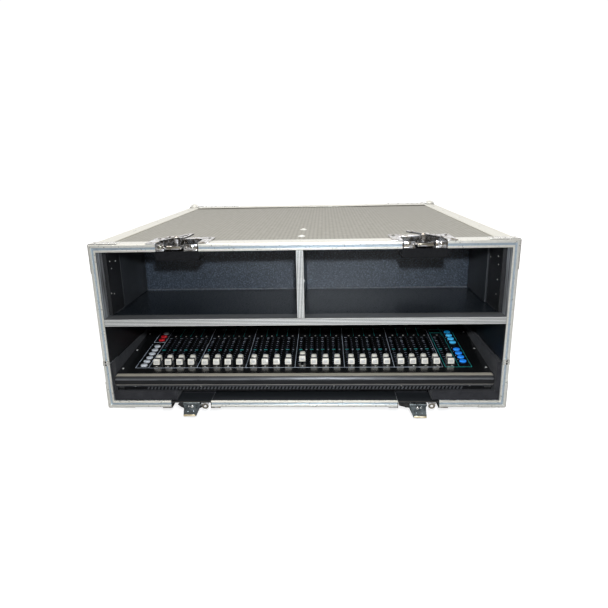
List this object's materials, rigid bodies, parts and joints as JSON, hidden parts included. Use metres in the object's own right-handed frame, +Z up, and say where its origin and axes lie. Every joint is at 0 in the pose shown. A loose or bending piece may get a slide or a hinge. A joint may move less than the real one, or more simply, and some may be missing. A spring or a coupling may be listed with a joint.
{
  "type": "fader control desk in a flight case",
  "caption": "Control desk with sliding faders and coloured keys, set in the foam-lined tray of an aluminium-edged flight case with two open bays.",
  "frame": {"origin": "centre of the footprint, on the surface that the feet stand on", "axes": "+Z up, -Y out of the open front where the operator stands, +X to the operator's right"},
  "size_m": [0.666, 0.6704, 0.3147],
  "materials": {
    "edging_aluminium": "satin anodised",
    "laminate": "dark grey laminate with a fine hexagonal texture on plywood",
    "bay_board": "black board, satin floor and speckled walls",
    "foam": "black foam",
    "desk_steel": "black powder coat",
    "armrest_profile": "dark grey satin",
    "fader_cap": "ivory, satin",
    "key_white": "translucent white",
    "key_red": "translucent red",
    "key_blue": "translucent blue",
    "key_pale_blue": "translucent light blue",
    "latch_zinc": "bright zinc plating"
  },
  "bodies": {
    "base": {"base_tray": "laminate", "base_edging": "edging_aluminium", "foam_bed": "foam", "desk_chassis": "desk_steel", "desk_armrest": "armrest_profile"},
    "cover": {"cover_shell": "laminate", "cover_edging": "edging_aluminium", "shelf_board": "bay_board", "divider_panel": "bay_board", "bay_back_panel": "bay_board"},
    "fader_01": {"fader_01": "fader_cap"},
    "fader_02": {"fader_02": "fader_cap"},
    "fader_03": {"fader_03": "fader_cap"},
    "fader_04": {"fader_04": "fader_cap"},
    "fader_05": {"fader_05": "fader_cap"},
    "fader_06": {"fader_06": "fader_cap"},
    "fader_07": {"fader_07": "fader_cap"},
    "fader_08": {"fader_08": "fader_cap"},
    "fader_09": {"fader_09": "fader_cap"},
    "fader_10": {"fader_10": "fader_cap"},
    "fader_11": {"fader_11": "fader_cap"},
    "fader_12": {"fader_12": "fader_cap"},
    "fader_13": {"fader_13": "fader_cap"},
    "fader_14": {"fader_14": "fader_cap"},
    "fader_15": {"fader_15": "fader_cap"},
    "fader_16": {"fader_16": "fader_cap"},
    "fader_17": {"fader_17": "fader_cap"},
    "fader_18": {"fader_18": "fader_cap"},
    "fader_19": {"fader_19": "fader_cap"},
    "fader_20": {"fader_20": "fader_cap"},
    "fader_21": {"fader_21": "fader_cap"},
    "fader_22": {"fader_22": "fader_cap"},
    "fader_23": {"fader_23": "fader_cap"},
    "fader_24": {"fader_24": "fader_cap"},
    "fader_25": {"fader_25": "fader_cap"},
    "key_left_01": {"key_left_01": "key_white"},
    "key_left_02": {"key_left_02": "key_white"},
    "key_left_03": {"key_left_03": "key_white"},
    "key_left_04": {"key_left_04": "key_white"},
    "key_left_05": {"key_left_05": "key_white"},
    "key_left_06": {"key_left_06": "key_white"},
    "key_left_07": {"key_left_07": "key_red"},
    "key_left_08": {"key_left_08": "key_red"},
    "key_left_09": {"key_left_09": "key_white"},
    "key_right_01": {"key_right_01": "key_blue"},
    "key_right_02": {"key_right_02": "key_blue"},
    "key_right_03": {"key_right_03": "key_blue"},
    "key_right_04": {"key_right_04": "key_blue"},
    "key_right_05": {"key_right_05": "key_pale_blue"},
    "key_right_06": {"key_right_06": "key_pale_blue"},
    "key_right_07": {"key_right_07": "key_pale_blue"},
    "key_right_08": {"key_right_08": "key_pale_blue"},
    "top_latch_left_wing": {"top_latch_left_wing": "latch_zinc"},
    "top_latch_left_hook": {"top_latch_left_hook": "latch_zinc"},
    "bottom_latch_left_wing": {"bottom_latch_left_wing": "latch_zinc"},
    "bottom_latch_left_hook": {"bottom_latch_left_hook": "latch_zinc"},
    "top_latch_right_wing": {"top_latch_right_wing": "latch_zinc"},
    "top_latch_right_hook": {"top_latch_right_hook": "latch_zinc"},
    "bottom_latch_right_wing": {"bottom_latch_right_wing": "latch_zinc"},
    "bottom_latch_right_hook": {"bottom_latch_right_hook": "latch_zinc"}
  },
  "joints": [
    {"name": "cover_lift", "type": "slide", "parent": "base", "child": "cover", "axis": [0, 0, 1], "range_m": [0, 0.25]},
    {"name": "fader_01_slide", "type": "slide", "parent": "base", "child": "fader_01", "axis": [0, 0.9962, 0.0872], "range_m": [0, 0.1]},
    {"name": "fader_02_slide", "type": "slide", "parent": "base", "child": "fader_02", "axis": [0, 0.9962, 0.0872], "range_m": [0, 0.1]},
    {"name": "fader_03_slide", "type": "slide", "parent": "base", "child": "fader_03", "axis": [0, 0.9962, 0.0872], "range_m": [0, 0.1]},
    {"name": "fader_04_slide", "type": "slide", "parent": "base", "child": "fader_04", "axis": [0, 0.9962, 0.0872], "range_m": [0, 0.1]},
    {"name": "fader_05_slide", "type": "slide", "parent": "base", "child": "fader_05", "axis": [0, 0.9962, 0.0872], "range_m": [0, 0.1]},
    {"name": "fader_06_slide", "type": "slide", "parent": "base", "child": "fader_06", "axis": [0, 0.9962, 0.0872], "range_m": [0, 0.1]},
    {"name": "fader_07_slide", "type": "slide", "parent": "base", "child": "fader_07", "axis": [0, 0.9962, 0.0872], "range_m": [0, 0.1]},
    {"name": "fader_08_slide", "type": "slide", "parent": "base", "child": "fader_08", "axis": [0, 0.9962, 0.0872], "range_m": [0, 0.1]},
    {"name": "fader_09_slide", "type": "slide", "parent": "base", "child": "fader_09", "axis": [0, 0.9962, 0.0872], "range_m": [0, 0.1]},
    {"name": "fader_10_slide", "type": "slide", "parent": "base", "child": "fader_10", "axis": [0, 0.9962, 0.0872], "range_m": [0, 0.1]},
    {"name": "fader_11_slide", "type": "slide", "parent": "base", "child": "fader_11", "axis": [0, 0.9962, 0.0872], "range_m": [0, 0.1]},
    {"name": "fader_12_slide", "type": "slide", "parent": "base", "child": "fader_12", "axis": [0, 0.9962, 0.0872], "range_m": [0, 0.1]},
    {"name": "fader_13_slide", "type": "slide", "parent": "base", "child": "fader_13", "axis": [0, 0.9962, 0.0872], "range_m": [-0.0106, 0.0894]},
    {"name": "fader_14_slide", "type": "slide", "parent": "base", "child": "fader_14", "axis": [0, 0.9962, 0.0872], "range_m": [0, 0.1]},
    {"name": "fader_15_slide", "type": "slide", "parent": "base", "child": "fader_15", "axis": [0, 0.9962, 0.0872], "range_m": [0, 0.1]},
    {"name": "fader_16_slide", "type": "slide", "parent": "base", "child": "fader_16", "axis": [0, 0.9962, 0.0872], "range_m": [0, 0.1]},
    {"name": "fader_17_slide", "type": "slide", "parent": "base", "child": "fader_17", "axis": [0, 0.9962, 0.0872], "range_m": [0, 0.1]},
    {"name": "fader_18_slide", "type": "slide", "parent": "base", "child": "fader_18", "axis": [0, 0.9962, 0.0872], "range_m": [0, 0.1]},
    {"name": "fader_19_slide", "type": "slide", "parent": "base", "child": "fader_19", "axis": [0, 0.9962, 0.0872], "range_m": [0, 0.1]},
    {"name": "fader_20_slide", "type": "slide", "parent": "base", "child": "fader_20", "axis": [0, 0.9962, 0.0872], "range_m": [0, 0.1]},
    {"name": "fader_21_slide", "type": "slide", "parent": "base", "child": "fader_21", "axis": [0, 0.9962, 0.0872], "range_m": [0, 0.1]},
    {"name": "fader_22_slide", "type": "slide", "parent": "base", "child": "fader_22", "axis": [0, 0.9962, 0.0872], "range_m": [0, 0.1]},
    {"name": "fader_23_slide", "type": "slide", "parent": "base", "child": "fader_23", "axis": [0, 0.9962, 0.0872], "range_m": [0, 0.1]},
    {"name": "fader_24_slide", "type": "slide", "parent": "base", "child": "fader_24", "axis": [0, 0.9962, 0.0872], "range_m": [0, 0.1]},
    {"name": "fader_25_slide", "type": "slide", "parent": "base", "child": "fader_25", "axis": [0, 0.9962, 0.0872], "range_m": [0, 0.1]},
    {"name": "key_left_01_press", "type": "slide", "parent": "base", "child": "key_left_01", "axis": [0, 0.0872, -0.9962], "range_m": [0, 0.0015], "stiffness_N_per_m": 400, "springref_m": -0.0005},
    {"name": "key_left_02_press", "type": "slide", "parent": "base", "child": "key_left_02", "axis": [0, 0.0872, -0.9962], "range_m": [0, 0.0015], "stiffness_N_per_m": 400, "springref_m": -0.0005},
    {"name": "key_left_03_press", "type": "slide", "parent": "base", "child": "key_left_03", "axis": [0, 0.0872, -0.9962], "range_m": [0, 0.0015], "stiffness_N_per_m": 400, "springref_m": -0.0005},
    {"name": "key_left_04_press", "type": "slide", "parent": "base", "child": "key_left_04", "axis": [0, 0.0872, -0.9962], "range_m": [0, 0.0015], "stiffness_N_per_m": 400, "springref_m": -0.0005},
    {"name": "key_left_05_press", "type": "slide", "parent": "base", "child": "key_left_05", "axis": [0, 0.0872, -0.9962], "range_m": [0, 0.0015], "stiffness_N_per_m": 400, "springref_m": -0.0005},
    {"name": "key_left_06_press", "type": "slide", "parent": "base", "child": "key_left_06", "axis": [0, 0.0872, -0.9962], "range_m": [0, 0.0015], "stiffness_N_per_m": 400, "springref_m": -0.0005},
    {"name": "key_left_07_press", "type": "slide", "parent": "base", "child": "key_left_07", "axis": [0, 0.0872, -0.9962], "range_m": [0, 0.0015], "stiffness_N_per_m": 400, "springref_m": -0.0005},
    {"name": "key_left_08_press", "type": "slide", "parent": "base", "child": "key_left_08", "axis": [0, 0.0872, -0.9962], "range_m": [0, 0.0015], "stiffness_N_per_m": 400, "springref_m": -0.0005},
    {"name": "key_left_09_press", "type": "slide", "parent": "base", "child": "key_left_09", "axis": [0, 0.0872, -0.9962], "range_m": [0, 0.0015], "stiffness_N_per_m": 400, "springref_m": -0.0005},
    {"name": "key_right_01_press", "type": "slide", "parent": "base", "child": "key_right_01", "axis": [0, 0.0872, -0.9962], "range_m": [0, 0.0015], "stiffness_N_per_m": 400, "springref_m": -0.0005},
    {"name": "key_right_02_press", "type": "slide", "parent": "base", "child": "key_right_02", "axis": [0, 0.0872, -0.9962], "range_m": [0, 0.0015], "stiffness_N_per_m": 400, "springref_m": -0.0005},
    {"name": "key_right_03_press", "type": "slide", "parent": "base", "child": "key_right_03", "axis": [0, 0.0872, -0.9962], "range_m": [0, 0.0015], "stiffness_N_per_m": 400, "springref_m": -0.0005},
    {"name": "key_right_04_press", "type": "slide", "parent": "base", "child": "key_right_04", "axis": [0, 0.0872, -0.9962], "range_m": [0, 0.0015], "stiffness_N_per_m": 400, "springref_m": -0.0005},
    {"name": "key_right_05_press", "type": "slide", "parent": "base", "child": "key_right_05", "axis": [0, 0.0872, -0.9962], "range_m": [0, 0.0015], "stiffness_N_per_m": 400, "springref_m": -0.0005},
    {"name": "key_right_06_press", "type": "slide", "parent": "base", "child": "key_right_06", "axis": [0, 0.0872, -0.9962], "range_m": [0, 0.0015], "stiffness_N_per_m": 400, "springref_m": -0.0005},
    {"name": "key_right_07_press", "type": "slide", "parent": "base", "child": "key_right_07", "axis": [0, 0.0872, -0.9962], "range_m": [0, 0.0015], "stiffness_N_per_m": 400, "springref_m": -0.0005},
    {"name": "key_right_08_press", "type": "slide", "parent": "base", "child": "key_right_08", "axis": [0, 0.0872, -0.9962], "range_m": [0, 0.0015], "stiffness_N_per_m": 400, "springref_m": -0.0005},
    {"name": "top_latch_left_turn", "type": "hinge", "parent": "cover", "child": "top_latch_left_wing", "pos_m": [-0.1955, -0.30835, 0.302], "axis": [0, 0, 1], "range_deg": [0, 180]},
    {"name": "top_latch_left_swing", "type": "hinge", "parent": "cover", "child": "top_latch_left_hook", "pos_m": [-0.1955, -0.31785, 0.295], "axis": [-1, 0, 0], "range_deg": [0, 50]},
    {"name": "bottom_latch_left_turn", "type": "hinge", "parent": "base", "child": "bottom_latch_left_wing", "pos_m": [-0.1885, -0.30585, 0.026], "axis": [0, 0, 1], "range_deg": [0, 180]},
    {"name": "bottom_latch_left_swing", "type": "hinge", "parent": "base", "child": "bottom_latch_left_hook", "pos_m": [-0.1885, -0.32685, 0.0325], "axis": [-1, 0, 0], "range_deg": [0, 100]},
    {"name": "top_latch_right_turn", "type": "hinge", "parent": "cover", "child": "top_latch_right_wing", "pos_m": [0.1885, -0.30835, 0.302], "axis": [0, 0, 1], "range_deg": [0, 180]},
    {"name": "top_latch_right_swing", "type": "hinge", "parent": "cover", "child": "top_latch_right_hook", "pos_m": [0.1885, -0.31785, 0.295], "axis": [-1, 0, 0], "range_deg": [0, 50]},
    {"name": "bottom_latch_right_turn", "type": "hinge", "parent": "base", "child": "bottom_latch_right_wing", "pos_m": [0.188, -0.30585, 0.026], "axis": [0, 0, 1], "range_deg": [0, 180]},
    {"name": "bottom_latch_right_swing", "type": "hinge", "parent": "base", "child": "bottom_latch_right_hook", "pos_m": [0.188, -0.32685, 0.0295], "axis": [-1, 0, 0], "range_deg": [0, 100]}
  ]
}
